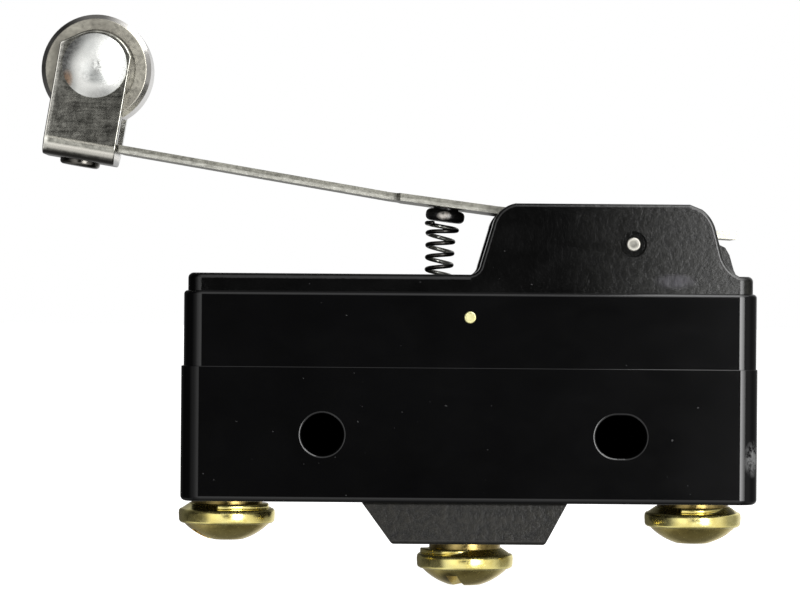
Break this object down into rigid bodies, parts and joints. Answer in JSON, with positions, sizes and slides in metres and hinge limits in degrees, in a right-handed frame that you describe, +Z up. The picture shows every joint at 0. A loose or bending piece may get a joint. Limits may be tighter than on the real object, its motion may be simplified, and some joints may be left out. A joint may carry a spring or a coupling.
{
  "type": "limit switch",
  "caption": "Snap-action limit switch in a black moulded case, worked by a sprung hinge lever with a steel roller, with screw terminals underneath.",
  "frame": {"origin": "centre of the round mounting hole, midway between the front and back faces", "axes": "+X along the case towards the lever's hinge and the slotted mounting hole, +Y from the front face to the back face, +Z up towards the roller"},
  "size_m": [0.0618, 0.0174, 0.0494],
  "materials": {
    "case_moulding": "black phenolic moulding, satin, smooth faces",
    "cover_moulding": "black phenolic moulding, satin with fine grain",
    "plunger_moulding": "moulded",
    "lever_steel": "spring steel strip, nickel plated, dull",
    "bracket_steel": "scratched sheet steel",
    "roller_steel": "turned steel, satin",
    "axle_steel": "polished",
    "pin_steel": "turned end",
    "spring_steel": "drawn wire, oiled",
    "button_black": "black",
    "terminal_brass": "bright",
    "screw_brass": "bright, turned",
    "pin_brass": "bright",
    "blade_copper": "beryllium copper strip",
    "contact_silver": "fine silver"
  },
  "bodies": {
    "root": {"case": "case_moulding", "cover": "cover_moulding", "cover_pin": "pin_brass", "pivot_pin": "pin_steel", "common_terminal": "terminal_brass", "normally_closed_terminal": "terminal_brass", "normally_open_terminal": "terminal_brass", "normally_closed_contact": "contact_silver", "normally_open_contact": "contact_silver", "blade_anchor": "terminal_brass", "blade_rivet": "terminal_brass", "common_screw": "screw_brass", "normally_closed_screw": "screw_brass", "normally_open_screw": "screw_brass", "common_cup_washer": "screw_brass", "normally_closed_cup_washer": "screw_brass", "normally_open_cup_washer": "screw_brass"},
    "lever": {"lever": "lever_steel", "spring_button": "button_black", "roller_bracket": "bracket_steel", "bracket_rivet": "bracket_steel", "roller_axle": "axle_steel"},
    "roller": {"roller": "roller_steel"},
    "plunger": {"plunger": "plunger_moulding", "overtravel_spring": "spring_steel"},
    "blade": {"snap_blade": "blade_copper", "moving_contact": "contact_silver"}
  },
  "joints": [
    {"name": "lever_hinge", "type": "hinge", "parent": "root", "child": "lever", "pos_m": [0.02637, 0, 0.01638], "axis": [0, -1, 0], "range_deg": [0, 13], "stiffness_Nm_per_rad": 0.2, "springref_deg": -6.88, "deforming": ["overtravel_spring"]},
    {"name": "roller_spin", "type": "hinge", "parent": "lever", "child": "roller", "pos_m": [-0.01998, 0, 0.0313], "axis": [0, -1, 0], "continuous": true},
    {"name": "plunger_slide", "type": "slide", "parent": "root", "child": "plunger", "axis": [0, 0, -1], "range_m": [0, 0.0003]},
    {"name": "blade_hinge", "type": "hinge", "parent": "root", "child": "blade", "pos_m": [-0.0059, 0, 0.00675], "axis": [0, 1, 0], "range_deg": [0, 1.3]}
  ],
  "couplings": [
    {"joint": "plunger_slide", "follows": "lever_hinge", "m_per_rad": 0.00132},
    {"joint": "blade_hinge", "follows": "lever_hinge", "ratio": 0.0923}
  ]
}
